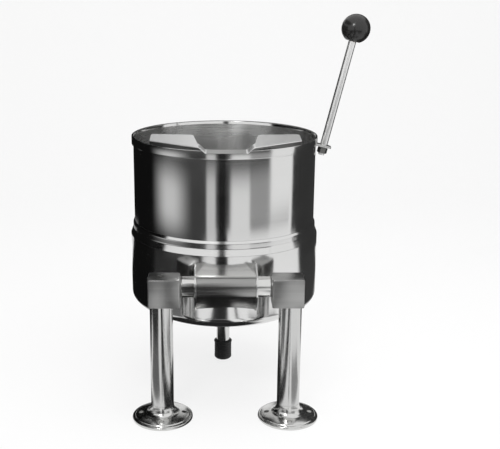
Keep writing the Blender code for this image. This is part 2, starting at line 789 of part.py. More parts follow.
def make_housing(side_name, side):
    """Block with a boss, a stepped bore for the shaft's bearing and a socket for the leg."""
    turn = (0, side * pi / 2, 0)
    depth = HOUSING_HALF_DEPTH
    low = HOUSING_BOTTOM_Z - TRUNNION_Z
    high = HOUSING_TOP_Z - TRUNNION_Z
    outline = [(-depth, low), (depth, low), (depth, high), (-depth, high)]
    near, far = sorted((side * HOUSING_INNER_X, side * HOUSING_OUTER_X))
    block = prism(
        side_name + "_housing",
        outline,
        near,
        far,
        BEARING_AXIS,
        rotation=(pi / 2, 0, pi / 2),
        colour="brushed_stainless",
    )
    soften(block, HOUSING_EDGE, 2)
    face = HOUSING_INNER_X - BOSS_HEIGHT
    boss = [(0, HOUSING_INNER_X + BOSS_ROOT), (BOSS_RADIUS, HOUSING_INNER_X + BOSS_ROOT)]
    boss += [(BOSS_RADIUS, face + BOSS_CHAMFER), (BOSS_RADIUS - BOSS_CHAMFER, face), (0, face)]
    boolean(
        block,
        turned(side_name + "_boss", boss, BEARING_AXIS, segments=BEARING_SEGMENTS, rotation=turn),
        "UNION",
    )
    bore = [
        (0, HOUSING_OUTER_X + OUTSIDE),
        (PORT_RADIUS, HOUSING_OUTER_X + OUTSIDE),
        (PORT_RADIUS, CHAMBER_X),
        (CHAMBER_RADIUS, CHAMBER_X),
        (CHAMBER_RADIUS, BUSH_SEAT_X),
        (BUSH_SEAT_RADIUS, BUSH_SEAT_X),
        (BUSH_SEAT_RADIUS, SEAL_POCKET_X),
        (SEAL_POCKET_RADIUS, SEAL_POCKET_X),
        (SEAL_POCKET_RADIUS, face - OUTSIDE),
        (0, face - OUTSIDE),
    ]
    boolean(
        block,
        turned(side_name + "_bore", bore, BEARING_AXIS, segments=BEARING_SEGMENTS, rotation=turn),
    )
    socket_top = LEG_TOP_Z + GAP
    socket = round_bar(
        side_name + "_leg_socket",
        (side * LEG_X, TRUNNION_Y, 0),
        (side * LEG_X, TRUNNION_Y, socket_top),
        LEG_RADIUS + GAP,
        STAND,
        BEARING_SEGMENTS,
    )
    boolean(block, socket)
    if side < 0:
        cut_plug_seat(block, side)


def cut_plug_seat(block, side):
    x = side * PLUG_X
    floor = HOUSING_TOP_Z - PLUG_RECESS_DEPTH
    recess = round_bar(
        "plug_recess",
        (x, TRUNNION_Y, floor),
        (x, TRUNNION_Y, HOUSING_TOP_Z + OUTSIDE),
        PLUG_RECESS,
        STAND,
    )
    boolean(block, recess)
    hole = round_bar(
        "plug_hole",
        (x, TRUNNION_Y, TRUNNION_Z + CHAMBER_RADIUS),
        (x, TRUNNION_Y, HOUSING_TOP_Z),
        PLUG_SHANK_RADIUS + GAP,
        STAND,
    )
    boolean(block, hole)


def make_plug():
    floor = HOUSING_TOP_Z - PLUG_RECESS_DEPTH + GAP
    top = HOUSING_TOP_Z - GAP
    shank_end = TRUNNION_Z + BUSH_RADIUS + GAP
    profile = [
        (0, top),
        (PLUG_HEAD_RADIUS, top),
        (PLUG_HEAD_RADIUS, floor),
        (PLUG_SHANK_RADIUS, floor),
        (PLUG_SHANK_RADIUS, shank_end),
        (0, shank_end),
    ]
    spot = (-PLUG_X, TRUNNION_Y, 0)
    plug = turned("lube_plug", profile, STAND, segments=24, location=spot, colour="zinc_steel")
    key = prism(
        "plug_key", hexagon(PLUG_SOCKET_FLATS), floor, top + OUTSIDE, STAND, location=spot
    )
    boolean(plug, key)


def make_bearing(side_name, side):
    """Bush, shaft seal and steam packing of one housing, all round the tilting axis."""
    pieces = [
        (
            "_shaft_seal",
            SEAL_BORE,
            SEAL_POCKET_RADIUS - GAP,
            SEAL_START_X,
            SEAL_POCKET_X - GAP,
            "seal_rubber",
        ),
        ("_bush", BUSH_BORE, BUSH_RADIUS, SEAL_POCKET_X + GAP, BUSH_END_X, "bearing_bronze"),
        (
            "_steam_packing",
            SEAL_BORE,
            BUSH_RADIUS,
            BUSH_END_X + GAP,
            PACKING_END_X,
            "graphite_packing",
        ),
    ]
    for name, inner, outer, near, far, colour in pieces:
        turned(
            side_name + name,
            ring(inner, outer, near, far),
            BEARING_AXIS,
            closed=True,
            segments=BEARING_SEGMENTS,
            rotation=(0, side * pi / 2, 0),
            colour=colour,
        )


def make_leg(side_name, side):
    spot = (side * LEG_X, TRUNNION_Y, 0)
    section = ring(LEG_RADIUS - LEG_WALL, LEG_RADIUS, FOOT_NECK_Z + GAP, LEG_TOP_Z)
    turned(
        side_name + "_leg_tube",
        section,
        STAND,
        closed=True,
        segments=BEARING_SEGMENTS,
        location=spot,
        colour="polished_stainless",
    )


def foot_fillet():
    """Hollow quarter-ellipse from the neck out to the dome of the foot."""
    wide = FOOT_FILLET_RADIUS - LEG_RADIUS
    tall = FOOT_NECK_Z - FOOT_FILLET_Z
    turns = [pi / 2 * i / 5 for i in range(6)]
    return [
        (FOOT_FILLET_RADIUS - wide * cos(turn), FOOT_NECK_Z - tall * sin(turn)) for turn in turns
    ]


def make_foot(side_name, side):
    spot = (side * LEG_X, TRUNNION_Y, 0)
    inner = LEG_RADIUS - LEG_WALL
    profile = [(0, FOOT_FLOOR), (inner, FOOT_FLOOR), (inner, FOOT_NECK_Z)]
    profile += foot_fillet()
    profile += [
        (FOOT_DOME_RADIUS - FOOT_CROWN_INSET, FOOT_DOME_Z + FOOT_CROWN_RISE),
        (FOOT_DOME_RADIUS, FOOT_DOME_Z),
        (FOOT_DOME_RADIUS + FOOT_STEP_WIDTH, FOOT_DOME_Z - FOOT_STEP_DROP),
        (FOOT_RADIUS - FOOT_EDGE_WIDTH, FOOT_RIM_Z + FOOT_EDGE_RISE),
        (FOOT_RADIUS - 0.25 * FOOT_EDGE_WIDTH, FOOT_RIM_Z + 0.25 * FOOT_EDGE_RISE),
        (FOOT_RADIUS, FOOT_RIM_Z - 0.5 * FOOT_EDGE_WIDTH),
        (FOOT_RADIUS, FOOT_CHAMFER),
        (FOOT_RADIUS - FOOT_CHAMFER, 0),
        (0, 0),
    ]
    foot = turned(
        side_name + "_foot_flange",
        profile,
        STAND,
        segments=BEARING_SEGMENTS,
        location=spot,
        colour="polished_stainless",
    )
    for i in range(BOLT_COUNT):
        turn = 2 * pi * i / BOLT_COUNT
        x = spot[0] + BOLT_CIRCLE * cos(turn)
        y = spot[1] + BOLT_CIRCLE * sin(turn)
        name = side_name + "_bolt_hole_" + str(i + 1)
        hole = round_bar(name, (x, y, -OUTSIDE), (x, y, FOOT_NECK_Z), BOLT_RADIUS, STAND, 16)
        boolean(foot, hole)


clear_scene()
MODEL = new_collection("steam_jacketed_kettle", hidden=False)
CUTTERS = new_collection("cutters", hidden=True)
STAND = new_empty("stand_frame", (AXIS_X, AXIS_Y, 0))
BEARING_AXIS = new_empty("bearing_axis", (0, TRUNNION_Y, TRUNNION_Z), STAND)
TILT_AXIS = new_empty("tilt_axis", (0, TRUNNION_Y, TRUNNION_Z), STAND)
KETTLE = new_empty("kettle_frame", (0, -TRUNNION_Y, -TRUNNION_Z), TILT_AXIS)
HANDLE = new_empty("handle_frame", (HANDLE_X, 0, HANDLE_Z), KETTLE, (0, HANDLE_LEAN, 0))

make_bowl()
make_rim_band()
make_pouring_lip()
make_jacket_shell()
make_top_ring()
JACKET_CUTTER = jacket_envelope()
make_shaft()
make_steam_nipple()
make_condensate_tube()
make_saddle(JACKET_CUTTER)
make_saddle_end("left", -1, JACKET_CUTTER)
make_saddle_end("right", 1, JACKET_CUTTER)
make_rest(JACKET_CUTTER)
make_handle_lug()
make_handle_rod()
make_handle_fixings()
make_ball()
for SIDE_NAME, SIDE in (("left", -1), ("right", 1)):
    make_housing(SIDE_NAME, SIDE)
    make_bearing(SIDE_NAME, SIDE)
    make_leg(SIDE_NAME, SIDE)
    make_foot(SIDE_NAME, SIDE)
make_plug()
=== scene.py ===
from math import asin, cos, pi, radians, sin, sqrt

import bmesh
import bpy
from mathutils import Matrix, Vector


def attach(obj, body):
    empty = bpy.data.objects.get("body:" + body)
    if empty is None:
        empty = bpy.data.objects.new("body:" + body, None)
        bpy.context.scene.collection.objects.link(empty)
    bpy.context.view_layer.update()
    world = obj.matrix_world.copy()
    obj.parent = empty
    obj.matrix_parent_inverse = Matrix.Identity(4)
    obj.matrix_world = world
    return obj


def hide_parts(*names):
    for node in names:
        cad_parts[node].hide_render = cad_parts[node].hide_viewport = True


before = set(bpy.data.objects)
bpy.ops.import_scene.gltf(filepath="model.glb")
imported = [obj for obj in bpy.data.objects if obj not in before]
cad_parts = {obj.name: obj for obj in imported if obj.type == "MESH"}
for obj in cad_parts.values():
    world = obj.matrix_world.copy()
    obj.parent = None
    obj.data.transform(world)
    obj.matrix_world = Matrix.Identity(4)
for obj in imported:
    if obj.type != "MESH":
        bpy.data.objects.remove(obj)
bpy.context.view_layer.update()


# Foot flanges
# Two stainless steel flanges on which the stand is bolted to the bench. Each is
# turned from plate, with a hollow fillet up to its neck and four bolt holes, and
# then polished by hand, which leaves fine rings round the leg's axis.

MM = 0.001
KETTLE_AXIS = Vector((-41.5, 38.0, 0)) * MM
LEG_ASIDE = 106.4
LEG_FORWARD = -194.0
LEG_AXES = {
    "left": KETTLE_AXIS + Vector((-LEG_ASIDE, LEG_FORWARD, 0)) * MM,
    "right": KETTLE_AXIS + Vector((LEG_ASIDE, LEG_FORWARD, 0)) * MM,
}
LEG_RADIUS = 19.05
LEG_BORE = 16.55
NECK_TOP = 27.0
FOOT_FLOOR = 6.0
FILLET_RADIUS = 31.0
FILLET_FOOT = 10.4
FOOT_DOME = [
    (39.5, 9.0), (45.5, 7.4), (46.3, 6.0), (49.4, 5.4),
    (50.6, 4.5), (51.0, 3.4), (51.0, 1.0), (50.0, 0.0),
]
FOOT_ROUNDING = 0.8
BOLT_COUNT = 4
BOLT_RADIUS = 4.5
BOLT_CIRCLE = 36.5
DRILL_LENGTH = 40.0
DRILL_MIDDLE = 10.0


def add(tree, kind, settings=None, **sockets):
    """Adds a node. Sockets go by name, or as i0, i1 and so on, and take a value or another socket."""
    node = tree.nodes.new(kind)
    for key, value in (settings or {}).items():
        setattr(node, key, value)
    for key, value in sockets.items():
        numbered = key[0] == "i" and key[1:].isdigit()
        socket = node.inputs[int(key[1:]) if numbered else key.replace("_", " ")]
        if isinstance(value, bpy.types.NodeSocket):
            tree.links.new(value, socket)
        else:
            socket.default_value = value
    return node


def in_order(values):
    """Names the values for the first, second and third socket of a node."""
    return {"i" + str(i): value for i, value in enumerate(values)}


def maths(tree, operation, *values, clamp=False):
    """A number worked out from numbers or from sockets."""
    settings = {"operation": operation, "use_clamp": clamp}
    return add(tree, "ShaderNodeMath", settings, **in_order(values)).outputs[0]


def vector_maths(tree, operation, *values):
    """A vector worked out from vectors, or the number that a length or a dot product gives."""
    node = add(tree, "ShaderNodeVectorMath", {"operation": operation}, **in_order(values))
    return node.outputs["Value" if operation in ("LENGTH", "DOT_PRODUCT") else "Vector"]


def object_place(tree):
    """The point on the object that is being shaded."""
    return add(tree, "ShaderNodeTexCoord").outputs["Object"]


def noise(tree, place, scale, detail, roughness=0.5):
    """Soft patches without any order, from 0 to 1."""
    node = add(tree, "ShaderNodeTexNoise", Vector=place, Scale=scale, Detail=detail, Roughness=roughness)
    return node.outputs["Fac"]


def ranged(tree, value, source=(0.0, 1.0), target=(0.0, 1.0)):
    """A value taken from one range to another."""
    node = add(tree, "ShaderNodeMapRange", Value=value, From_Min=source[0], From_Max=source[1],
               To_Min=target[0], To_Max=target[1])
    return node.outputs[0]


def blend(tree, share, first, second):
    """A colour between two others, nearer to the second where the share is large."""
    return add(tree, "ShaderNodeMix", {"data_type": "RGBA"}, i0=share, i6=first, i7=second).outputs[2]


def relief(tree, height, strength, depth, **under):
    """A normal that follows small heights of that many millimetres."""
    node = add(tree, "ShaderNodeBump", Strength=strength, Distance=depth * MM, Height=height, **under)
    return node.outputs[0]


def shade_of(tone, factor):
    """The tone made darker or lighter, as a colour with its alpha."""
    return [min(1.0, channel * factor) for channel in tone] + [1.0]


def shader_group(name, inputs, outputs):
    """Opens an empty shader node group with its named inputs and outputs."""
    group = bpy.data.node_groups.new(name, "ShaderNodeTree")
    for label, kind, value in inputs:
        socket = group.interface.new_socket(label, in_out="INPUT", socket_type=kind)
        socket.default_value = value
    for label, kind in outputs:
        group.interface.new_socket(label, in_out="OUTPUT", socket_type=kind)
    given = group.nodes.new("NodeGroupInput").outputs
    out = group.nodes.new("NodeGroupOutput").inputs
    return group, given, out


def lathe_marks_group():
    """Fine rings round an upright axis, as a polishing belt leaves them on turned work."""
    inputs = [
        ("Axis X", "NodeSocketFloat", 0.0),
        ("Axis Y", "NodeSocketFloat", 0.0),
        ("Fineness", "NodeSocketFloat", 900.0),
    ]
    outputs = [("Marks", "NodeSocketFloat"), ("Haze", "NodeSocketFloat")]
    group, given, out = shader_group("lathe_marks", inputs, outputs)
    parts = add(group, "ShaderNodeSeparateXYZ", i0=object_place(group)).outputs
    x = maths(group, "SUBTRACT", parts["X"], given["Axis X"])
    y = maths(group, "SUBTRACT", parts["Y"], given["Axis Y"])
    flat = add(group, "ShaderNodeCombineXYZ", X=x, Y=y).outputs[0]
    radius = vector_maths(group, "LENGTH", flat)
    wide = maths(group, "MULTIPLY", maths(group, "ARCTAN2", y, x), 1.6)
    up = maths(group, "MULTIPLY", parts["Z"], given["Fineness"])
    out_by = maths(group, "MULTIPLY", radius, given["Fineness"])
    along = add(group, "ShaderNodeCombineXYZ", X=wide, Y=up, Z=out_by).outputs[0]
    smear_up = maths(group, "MULTIPLY", parts["Z"], 18.0)
    smear = add(group, "ShaderNodeCombineXYZ", X=wide, Y=smear_up, Z=0.0).outputs[0]
    group.links.new(noise(group, along, 1.0, 4.0, 0.6), out["Marks"])
    group.links.new(noise(group, smear, 1.6, 1.0, 0.4), out["Haze"])
    return group


def hand_waves_group():
    """The slight unevenness of metal that was formed and polished by hand, as a height."""
    inputs = [("Stretch", "NodeSocketVector", (22.0, 22.0, 9.0))]
    group, given, out = shader_group("hand_waves", inputs, [("Height", "NodeSocketFloat")])
    along = vector_maths(group, "MULTIPLY", object_place(group), given["Stretch"])
    group.links.new(noise(group, along, 1.0, 1.5, 0.35), out["Height"])
    return group


def edge_wear_group():
    """Bright rubbed metal on the corners of a piece, broken up as handling breaks it up."""
    inputs = [("Width", "NodeSocketFloat", 0.0006), ("Break Up", "NodeSocketFloat", 180.0)]
    outputs = [("Wear", "NodeSocketFloat"), ("Soft Normal", "NodeSocketVector")]
    group, given, out = shader_group("edge_wear", inputs, outputs)
    plain = add(group, "ShaderNodeNewGeometry").outputs["Normal"]
    soft = add(group, "ShaderNodeBevel", {"samples": 6}, Radius=given["Width"]).outputs[0]
    corner = ranged(group, vector_maths(group, "DOT_PRODUCT", plain, soft), (0.97, 0.80))
    broken = ranged(group, noise(group, object_place(group), given["Break Up"], 3.0), (0.35, 0.6))
    group.links.new(maths(group, "MULTIPLY", corner, broken, clamp=True), out["Wear"])
    group.links.new(soft, out["Soft Normal"])
    return group


LATHE_MARKS = lathe_marks_group()
HAND_WAVES = hand_waves_group()
EDGE_WEAR = edge_wear_group()


def group_node(tree, group, **sockets):
    """Uses one of the shared groups in a material, and gives its outputs."""
    return add(tree, "ShaderNodeGroup", {"node_tree": group}, **sockets).outputs


def new_finish(name):
    """A material with its node tree and its Principled shader."""
    material = bpy.data.materials.new(name)
    material.use_nodes = True
    tree = material.node_tree
    return material, tree, tree.nodes["Principled BSDF"]


def wire_finish(tree, shader, colour, rough, normal=None):
    """Wires what was worked out into the shader."""
    tree.links.new(colour, shader.inputs["Base Color"])
    tree.links.new(rough, shader.inputs["Roughness"])
    if normal is not None:
        tree.links.new(normal, shader.inputs["Normal"])


def turned_stainless(name, axis, tone, roughness, fineness,
                     depth=0.003, swell=0.12, anisotropic=0.35):
    """Stainless steel polished in the lathe: rings, slow haze, and corners rubbed brighter."""
    material, tree, shader = new_finish(name)
    shader.inputs["Metallic"].default_value = 1.0
    shader.inputs["Anisotropic"].default_value = anisotropic
    shader.inputs["Anisotropic Rotation"].default_value = 0.25
    marks = group_node(tree, LATHE_MARKS, Axis_X=axis.x, Axis_Y=axis.y, Fineness=fineness)
    wear = group_node(tree, EDGE_WEAR)["Wear"]
    streaks = add(tree, "ShaderNodeMix", {"data_type": "FLOAT"},
                  i0=0.5, i2=marks["Haze"], i3=marks["Marks"]).outputs[0]
    haze = blend(tree, streaks, shade_of(tone, 0.94), shade_of(tone, 1.04))
    colour = blend(tree, wear, haze, shade_of(tone, 1.10))
    spread = ranged(tree, marks["Marks"], (0.3, 0.7), (roughness * 0.85, roughness * 1.2))
    matt = ranged(tree, marks["Haze"], (0.35, 0.7), (0.0, roughness * 0.35))
    rough = maths(tree, "ADD", spread, matt)
    wavy = relief(tree, group_node(tree, HAND_WAVES)["Height"], 1.0, swell)
    normal = relief(tree, marks["Marks"], 0.35, depth, Normal=wavy)
    wire_finish(tree, shader, colour, rough, normal)
    return material


def millimetres(points):
    """Radius and height of each point, from millimetres to metres."""
    return [(radius * MM, height * MM) for radius, height in points]


def bend_point(start, corner, end, share):
    """A point part way along a curve that leaves start towards corner and arrives at end."""
    return start.lerp(corner, share).lerp(corner.lerp(end, share), share)


def eased(points, radius, closed=True, steps=4, keep=()):
    """Rounds the corners of a profile by that radius, except for the ones numbered in keep."""
    outline = []
    count = len(points)
    for i, corner in enumerate(points):
        corner = Vector(corner)
        if i in keep or (not closed and i in (0, count - 1)):
            outline.append(tuple(corner))
            continue
        before = Vector(points[i - 1]) - corner
        after = Vector(points[(i + 1) % count]) - corner
        reach = min(radius, before.length * 0.45, after.length * 0.45)
        start = corner + before.normalized() * reach
        end = corner + after.normalized() * reach
        for step in range(steps + 1):
            outline.append(tuple(bend_point(start, corner, end, step / steps)))
    return outline


def new_object(name, data):
    """An object that is in the scene."""
    made = bpy.data.objects.new(name, data)
    bpy.context.scene.collection.objects.link(made)
    return made


def finish_mesh(name, work, body, material, sharp=35):
    """Makes the piece from its mesh, shades it, and hangs it on its body."""
    bmesh.ops.recalc_face_normals(work, faces=work.faces)
    mesh = bpy.data.meshes.new(name)
    work.to_mesh(mesh)
    work.free()
    mesh.shade_smooth()
    mesh.set_sharp_from_angle(angle=radians(sharp))
    mesh.materials.append(material)
    piece = new_object(name, mesh)
    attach(piece, body)
    return piece


def spun(profile, axis, turns=128, closed=True, lay=Matrix.Identity(4)):
    """Turns (radius, height) points round the upright line through axis, then lays the work down."""
    work = bmesh.new()
    angles = [2 * pi * i / turns for i in range(turns)]
    rings = []
    for radius, height in profile:
        around = angles if radius > 1e-7 else [0.0]
        rings.append([work.verts.new((radius * cos(a), radius * sin(a), height)) for a in around])
    pairs = list(zip(rings, rings[1:]))
    if closed:
        pairs.append((rings[-1], rings[0]))
    for one, two in pairs:
        for i in range(turns):
            j = (i + 1) % turns
            corners = [one[i % len(one)], one[j % len(one)], two[j % len(two)], two[i % len(two)]]
            corners = list(dict.fromkeys(corners))
            if len(corners) > 2:
                work.faces.new(corners)
    work.transform(Matrix.Translation(axis) @ lay)
    return work


def drill_bits(name, axis):
    """Round bars that stand where the bolt holes of a foot go."""
    drill = bmesh.new()
    for i in range(BOLT_COUNT):
        turn = 2 * pi * i / BOLT_COUNT
        spot = axis + Vector((BOLT_CIRCLE * cos(turn), BOLT_CIRCLE * sin(turn), DRILL_MIDDLE)) * MM
        bmesh.ops.create_cone(drill, cap_ends=True, segments=32, radius1=BOLT_RADIUS * MM,
                              radius2=BOLT_RADIUS * MM, depth=DRILL_LENGTH * MM,
                              matrix=Matrix.Translation(spot))
    bits = bpy.data.meshes.new(name)
    drill.to_mesh(bits)
    drill.free()
    return new_object(name, bits)


fillet_width = FILLET_RADIUS - LEG_RADIUS
fillet_height = NECK_TOP - FILLET_FOOT
fillet = []
for i in range(13):
    turn = pi / 2 * i / 12
    fillet.append((FILLET_RADIUS - fillet_width * cos(turn), NECK_TOP - fillet_height * sin(turn)))
foot_inside = [(0, FOOT_FLOOR), (LEG_BORE, FOOT_FLOOR), (LEG_BORE, NECK_TOP)]
foot_dome = eased(millimetres(FOOT_DOME), FOOT_ROUNDING * MM, closed=False)
foot_profile = millimetres(foot_inside + fillet) + foot_dome + [(0, 0)]
for side, axis in LEG_AXES.items():
    finish = turned_stainless(side + "_foot_steel", axis, (0.66, 0.66, 0.65), 0.16,
                              fineness=700.0, depth=0.0012)
    work = spun(foot_profile, axis, closed=False)
    foot = finish_mesh(side + "_foot", work, "stand", finish, sharp=30)
    tool = drill_bits(side + "_foot_bits", axis)
    cut = foot.modifiers.new("bolt_holes", "BOOLEAN")
    cut.solver = "EXACT"
    cut.object = tool
    bpy.context.view_layer.update()
    holed = bpy.data.meshes.new_from_object(foot.evaluated_get(bpy.context.evaluated_depsgraph_get()))
    foot.modifiers.clear()
    foot.data = holed
    holed.set_sharp_from_angle(angle=radians(30))
    bpy.data.objects.remove(tool)
    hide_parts(side + "_foot_flange")


# Leg tubes
# Two lengths of polished stainless tube, pushed up into the blocks and welded
# to the necks of the feet.

LEG_TOP = 209.0
WELD_GAP = 0.3
LEG_BOTTOM = NECK_TOP + WELD_GAP

leg_wall = [(LEG_RADIUS, LEG_TOP), (LEG_RADIUS, LEG_BOTTOM), (LEG_BORE, LEG_BOTTOM), (LEG_BORE, LEG_TOP)]
for side, axis in LEG_AXES.items():
    finish = turned_stainless(side + "_leg_steel", axis, (0.60, 0.60, 0.595), 0.16, fineness=600.0)
    work = spun(millimetres(leg_wall), axis, turns=96)
    leg = finish_mesh(side + "_leg", work, "stand", finish)
    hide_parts(side + "_leg_tube")


# Trunnion housings
# Two stainless blocks that carry the shaft. They are sawn from bar, drilled and
# bored through, then brushed on a belt, which leaves a straight grain.


def brushed_marks_group():
    """Straight scratches of a brushing belt. The stretch is large across the grain, small along it."""
    inputs = [("Stretch", "NodeSocketVector", (8.0, 8.0, 900.0))]
    outputs = [("Marks", "NodeSocketFloat"), ("Haze", "NodeSocketFloat")]
    group, given, out = shader_group("brushed_marks", inputs, outputs)
    along = vector_maths(group, "MULTIPLY", object_place(group), given["Stretch"])
    wide = vector_maths(group, "MULTIPLY", along, (0.12, 0.12, 0.12))
    group.links.new(noise(group, along, 1.0, 5.0, 0.65), out["Marks"])
    group.links.new(noise(group, wide, 1.0, 2.0, 0.5), out["Haze"])
    return group


BRUSHED_MARKS = brushed_marks_group()


def brushed_stainless(name, stretch, tone, roughness, depth=0.01, contrast=0.14):
    """Stainless steel with straight belt marks, slow haze, and corners rubbed brighter."""
    material, tree, shader = new_finish(name)
    shader.inputs["Metallic"].default_value = 1.0
    marks = group_node(tree, BRUSHED_MARKS, Stretch=stretch)
    corners = group_node(tree, EDGE_WEAR, Width=0.6 * MM)
    both = maths(tree, "MULTIPLY_ADD", marks["Marks"], 0.6, -0.05)
    mixed = maths(tree, "MULTIPLY_ADD", marks["Haze"], 0.5, both, clamp=True)
    grain = blend(tree, mixed, shade_of(tone, 1 - contrast), shade_of(tone, 1 + contrast / 2))
    colour = blend(tree, corners["Wear"], grain, shade_of(tone, 1.25))
    rough = ranged(tree, marks["Marks"], (0.3, 0.7), (roughness * 0.85, roughness * 1.2))
    normal = relief(tree, marks["Marks"], 0.5, depth, Normal=corners["Soft Normal"])
    wire_finish(tree, shader, colour, rough, normal)
    return material


def weld_and_smooth_tree():
    """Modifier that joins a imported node's loose facets and shades them smooth up to a corner."""
    tree = bpy.data.node_groups.new("weld_and_smooth", "GeometryNodeTree")
    tree.interface.new_socket("Geometry", in_out="INPUT", socket_type="NodeSocketGeometry")
    tree.interface.new_socket("Geometry", in_out="OUTPUT", socket_type="NodeSocketGeometry")
    given = tree.nodes.new("NodeGroupInput").outputs[0]
    joined = add(tree, "GeometryNodeMergeByDistance", Geometry=given, Distance=0.02 * MM).outputs[0]
    angle = add(tree, "GeometryNodeInputMeshEdgeAngle").outputs["Unsigned Angle"]
    less_than = {"data_type": "FLOAT", "operation": "LESS_THAN"}
    flat = add(tree, "FunctionNodeCompare", less_than, i0=angle, i1=radians(32)).outputs[0]
    faces = add(tree, "GeometryNodeSetShadeSmooth", {"domain": "FACE"}, i0=joined, i2=True).outputs[0]
    edges = add(tree, "GeometryNodeSetShadeSmooth", {"domain": "EDGE"}, i0=faces, i2=flat).outputs[0]
    tree.links.new(edges, tree.nodes.new("NodeGroupOutput").inputs[0])
    return tree


WELD_AND_SMOOTH = weld_and_smooth_tree()


def dress(node, material):
    """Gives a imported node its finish, and shades its round faces smooth."""
    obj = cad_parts[node]
    obj.data.materials.clear()
    obj.data.materials.append(material)
    if obj.data.has_custom_normals:
        obj.data.attributes.remove(obj.data.attributes["custom_normal"])
    obj.modifiers.new("weld_and_smooth", "NODES").node_group = WELD_AND_SMOOTH


for side in LEG_AXES:
    finish = brushed_stainless(side + "_housing_steel", (14.0, 14.0, 1100.0), (0.43, 0.43, 0.425), 0.34,
                               depth=0.02, contrast=0.34)
    dress(side + "_housing", finish)


# Bearings in the housings
# Each housing holds a bronze bush pressed in, a rubber lip seal round the shaft
# at the inner face, and rings of graphited packing that keep the steam in.


def bush_bronze(name):
    """Bronze or brass with fine marks of the tool and a brownish haze."""
    material, tree, shader = new_finish(name)
    shader.inputs["Metallic"].default_value = 1.0
    marks = group_node(tree, BRUSHED_MARKS, Stretch=(1500.0, 12.0, 12.0))
    colour = blend(tree, marks["Haze"], (0.36, 0.21, 0.09, 1.0), (0.58, 0.38, 0.18, 1.0))
    rough = ranged(tree, marks["Marks"], target=(0.28, 0.42))
    wire_finish(tree, shader, colour, rough)
    return material


def black_soft_stuff(name, tone, roughness, grain):
    """Rubber or packing: no metal in it, and a fine grain that catches a little light."""
    material, tree, shader = new_finish(name)
    place = object_place(tree)
    fine = noise(tree, place, grain, 4.0)
    slow = noise(tree, place, 60.0, 2.0)
    colour = blend(tree, slow, shade_of([tone] * 3, 0.6), shade_of([tone] * 3, 1.8))
    rough = ranged(tree, fine, target=(roughness - 0.1, roughness + 0.1))
    wire_finish(tree, shader, colour, rough, relief(tree, fine, 0.4, 0.05))
    return material


for side in LEG_AXES:
    dress(side + "_bush", bush_bronze(side + "_bush_bronze"))
    dress(side + "_shaft_seal", black_soft_stuff(side + "_seal_rubber", 0.02, 0.55, 1800.0))
    dress(side + "_steam_packing", black_soft_stuff(side + "_graphited_packing", 0.05, 0.6, 2500.0))


# Grease plug
# Small zinc plated plug with a hexagon socket, screwed into the top of the left
# block, where grease goes in to the bush.


def plated_steel(name, tone, roughness):
    """Zinc plated steel: patchy plating, and corners rubbed brighter."""
    material, tree, shader = new_finish(name)
    shader.inputs["Metallic"].default_value = 1.0
    spots = noise(tree, object_place(tree), 420.0, 4.0)
    corners = group_node(tree, EDGE_WEAR, Width=0.3 * MM, Break_Up=350.0)
    patchy = blend(tree, spots, shade_of(tone, 0.75), shade_of(tone, 1.0))
    colour = blend(tree, corners["Wear"], patchy, shade_of(tone, 1.5))
    rough = ranged(tree, spots, target=(roughness * 0.7, roughness * 1.4))
    normal = relief(tree, spots, 0.25, 0.03, Normal=corners["Soft Normal"])
    wire_finish(tree, shader, colour, rough, normal)
    return material


dress("lube_plug", plated_steel("plug_zinc", (0.34, 0.34, 0.33), 0.30))


# Bowl
# The pan in which the food is cooked, spun from stainless sheet with a half-ellipse
# bottom. It is polished outside and satin inside, and flares a little at its edge.

KETTLE_TONE = (0.70, 0.70, 0.695)
SHEET = 2.0
BOWL_RADIUS = 162.2
BOWL_BEND = 215.0
BOWL_DEPTH = 76.0
FLARE_START = 447.5
FLARE_INNER = 160.9
BOWL_EDGE = 452.3
BOWL_ROUNDING = 0.4
SATIN_WITHIN = 160.3


def dish(radius, level, depth, steps=24):
    """Points of a half-ellipse section, from its rim down to the axis."""
    turns = [pi / 2 * i / steps for i in range(1, steps + 1)]
    points = [(radius * cos(turn), level - depth * sin(turn)) for turn in turns]
    return millimetres(points[:-1] + [(0, level - depth)])


bowl_inner = BOWL_RADIUS - SHEET
bowl_outside = dish(BOWL_RADIUS, BOWL_BEND, BOWL_DEPTH)
bowl_inside = dish(bowl_inner, BOWL_BEND, BOWL_DEPTH - SHEET)[::-1]
bowl_rim = [(bowl_inner, BOWL_BEND), (bowl_inner, FLARE_START), (FLARE_INNER, BOWL_EDGE),
            (BOWL_RADIUS, BOWL_EDGE), (BOWL_RADIUS, BOWL_BEND)]
bowl_rim = eased(millimetres(bowl_rim), BOWL_ROUNDING * MM, closed=False)
bowl_steel = turned_stainless("bowl_steel", KETTLE_AXIS, KETTLE_TONE, 0.10, fineness=500.0, swell=0.10)
satin_steel = turned_stainless("bowl_satin_steel", KETTLE_AXIS, KETTLE_TONE, 0.22, fineness=500.0,
                               depth=0.001, swell=0.03, anisotropic=0.9)
work = spun(bowl_inside + bowl_rim + bowl_outside, KETTLE_AXIS, 192, closed=False)
bowl = finish_mesh("bowl", work, "kettle", bowl_steel)
bowl.data.materials.append(satin_steel)
for face in bowl.data.polygons:
    across = (face.center - KETTLE_AXIS).to_2d()
    faces_in = across.dot(face.normal.to_2d()) < 0 or face.normal.z > 0.9
    if faces_in and across.length < SATIN_WITHIN * MM:
        face.material_index = 1
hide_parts("kettle_bowl")


# Rim band
# Flat stainless bar rolled into a ring and welded round the rim, just proud of
# the bowl's edge, and polished.

RIM_TOP = 453.5
BAND_BOTTOM = 439.0
BAND_INNER = 162.5
BAND_OUTER = 165.1
BAND_ROUNDING = 1.0

